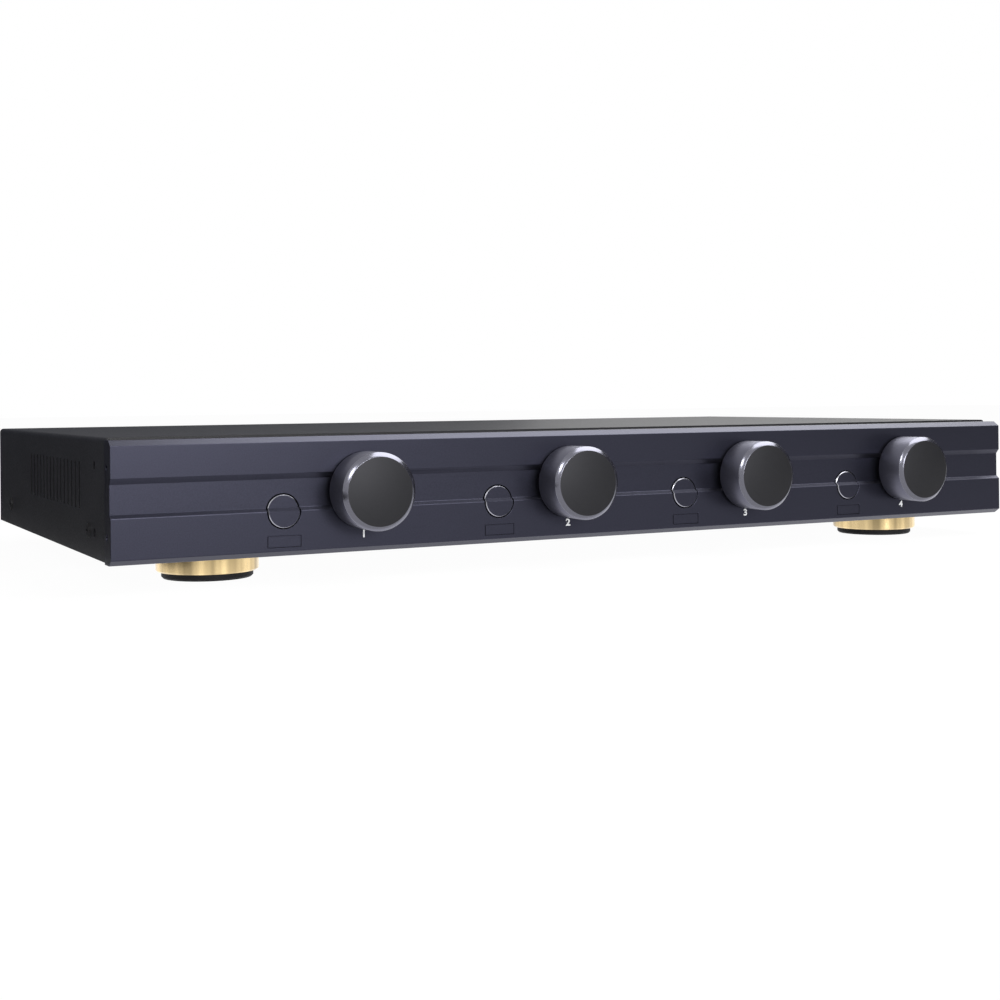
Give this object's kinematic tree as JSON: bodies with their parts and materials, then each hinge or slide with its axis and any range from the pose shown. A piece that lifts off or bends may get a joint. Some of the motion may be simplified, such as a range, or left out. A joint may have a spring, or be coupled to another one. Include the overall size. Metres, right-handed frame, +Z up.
{
  "type": "speaker selector switch",
  "caption": "Flat rack-height speaker selector: channelled front panel with flush push buttons and volume dials, vented steel case, round feet, pull-out screw plugs at the back.",
  "frame": {"origin": "middle of the overall width and depth, on the surface that the feet stand on", "axes": "+X to the user's right along the front panel, +Y from the front to the back, +Z up"},
  "size_m": [0.4302, 0.259, 0.0552],
  "materials": {
    "panel_anodised": "brushed and anodised in a dark slate grey, satin",
    "case_paint": "fine textured black powder coat on steel",
    "dial_metal": "turned aluminium, dark anodised, with a bright cut bevel",
    "button_metal": "dark anodised aluminium, bright at its rim",
    "shaft_steel": "turned steel",
    "foot_brass": "spun and plated in a warm gold colour",
    "foot_rubber": "soft black rubber",
    "switch_plastic": "moulded black plastic",
    "spring_steel": "spring steel wire",
    "nut_brass": "machined brass",
    "zinc_steel": "zinc plated steel",
    "black_screw": "black oxide steel",
    "board": "glass fibre board with green solder mask",
    "core_steel": "stack of dark steel laminations",
    "coil_copper": "enamelled copper winding",
    "terminal_plastic": "moulded black plastic",
    "pin_tin": "tin plated pins"
  },
  "bodies": {
    "case": {"front_panel": "panel_anodised", "label_plates": "panel_anodised", "panel_screws": "zinc_steel", "base_tray": "case_paint", "top_cover": "case_paint", "cover_screws": "black_screw", "rear_panel": "case_paint", "rear_screws": "black_screw", "foot_ring_front_left": "foot_brass", "foot_ring_front_right": "foot_brass", "foot_ring_rear_left": "foot_brass", "foot_ring_rear_right": "foot_brass", "foot_pads": "foot_rubber", "foot_screws": "zinc_steel", "bushing_washers": "zinc_steel", "bushing_nuts": "nut_brass", "main_board": "board", "board_standoffs": "nut_brass", "board_screws": "zinc_steel", "transformer_cores": "core_steel", "transformer_coils": "coil_copper", "transformer_straps": "zinc_steel", "terminal_headers": "terminal_plastic", "terminal_pins": "pin_tin", "rotary_switch_1": "switch_plastic", "push_switch_1": "switch_plastic", "button_spring_1": "spring_steel", "rotary_switch_2": "switch_plastic", "push_switch_2": "switch_plastic", "button_spring_2": "spring_steel", "rotary_switch_3": "switch_plastic", "push_switch_3": "switch_plastic", "button_spring_3": "spring_steel", "rotary_switch_4": "switch_plastic", "push_switch_4": "switch_plastic", "button_spring_4": "spring_steel"},
    "dial_1": {"volume_knob_1": "dial_metal", "volume_shaft_1": "shaft_steel"},
    "button_1": {"zone_button_1": "button_metal"},
    "dial_2": {"volume_knob_2": "dial_metal", "volume_shaft_2": "shaft_steel"},
    "button_2": {"zone_button_2": "button_metal"},
    "dial_3": {"volume_knob_3": "dial_metal", "volume_shaft_3": "shaft_steel"},
    "button_3": {"zone_button_3": "button_metal"},
    "dial_4": {"volume_knob_4": "dial_metal", "volume_shaft_4": "shaft_steel"},
    "button_4": {"zone_button_4": "button_metal"},
    "output_plug_1": {"output_plug_1": "terminal_plastic", "output_plug_1_screws": "zinc_steel"},
    "output_plug_2": {"output_plug_2": "terminal_plastic", "output_plug_2_screws": "zinc_steel"},
    "output_plug_3": {"output_plug_3": "terminal_plastic", "output_plug_3_screws": "zinc_steel"},
    "output_plug_4": {"output_plug_4": "terminal_plastic", "output_plug_4_screws": "zinc_steel"},
    "input_plug": {"input_plug": "terminal_plastic", "input_plug_screws": "zinc_steel"}
  },
  "joints": [
    {"name": "dial_1_turn", "type": "hinge", "parent": "case", "child": "dial_1", "pos_m": [-0.1188, -0.114, 0.0336], "axis": [0, 1, 0], "range_deg": [-150, 150]},
    {"name": "button_1_press", "type": "slide", "parent": "case", "child": "button_1", "axis": [0, 1, 0], "range_m": [0, 0.003], "stiffness_N_per_m": 300, "springref_m": -0.003, "deforming": ["button_spring_1"]},
    {"name": "dial_2_turn", "type": "hinge", "parent": "case", "child": "dial_2", "pos_m": [-0.0286, -0.114, 0.0336], "axis": [0, 1, 0], "range_deg": [-150, 150]},
    {"name": "button_2_press", "type": "slide", "parent": "case", "child": "button_2", "axis": [0, 1, 0], "range_m": [0, 0.003], "stiffness_N_per_m": 300, "springref_m": -0.003, "deforming": ["button_spring_2"]},
    {"name": "dial_3_turn", "type": "hinge", "parent": "case", "child": "dial_3", "pos_m": [0.0616, -0.114, 0.0336], "axis": [0, 1, 0], "range_deg": [-150, 150]},
    {"name": "button_3_press", "type": "slide", "parent": "case", "child": "button_3", "axis": [0, 1, 0], "range_m": [0, 0.003], "stiffness_N_per_m": 300, "springref_m": -0.003, "deforming": ["button_spring_3"]},
    {"name": "dial_4_turn", "type": "hinge", "parent": "case", "child": "dial_4", "pos_m": [0.1518, -0.114, 0.0336], "axis": [0, 1, 0], "range_deg": [-150, 150]},
    {"name": "button_4_press", "type": "slide", "parent": "case", "child": "button_4", "axis": [0, 1, 0], "range_m": [0, 0.003], "stiffness_N_per_m": 300, "springref_m": -0.003, "deforming": ["button_spring_4"]},
    {"name": "output_plug_1_pull", "type": "slide", "parent": "case", "child": "output_plug_1", "axis": [0, 1, 0], "range_m": [0, 0.014]},
    {"name": "output_plug_2_pull", "type": "slide", "parent": "case", "child": "output_plug_2", "axis": [0, 1, 0], "range_m": [0, 0.014]},
    {"name": "output_plug_3_pull", "type": "slide", "parent": "case", "child": "output_plug_3", "axis": [0, 1, 0], "range_m": [0, 0.014]},
    {"name": "output_plug_4_pull", "type": "slide", "parent": "case", "child": "output_plug_4", "axis": [0, 1, 0], "range_m": [0, 0.014]},
    {"name": "input_plug_pull", "type": "slide", "parent": "case", "child": "input_plug", "axis": [0, 1, 0], "range_m": [0, 0.014]}
  ]
}
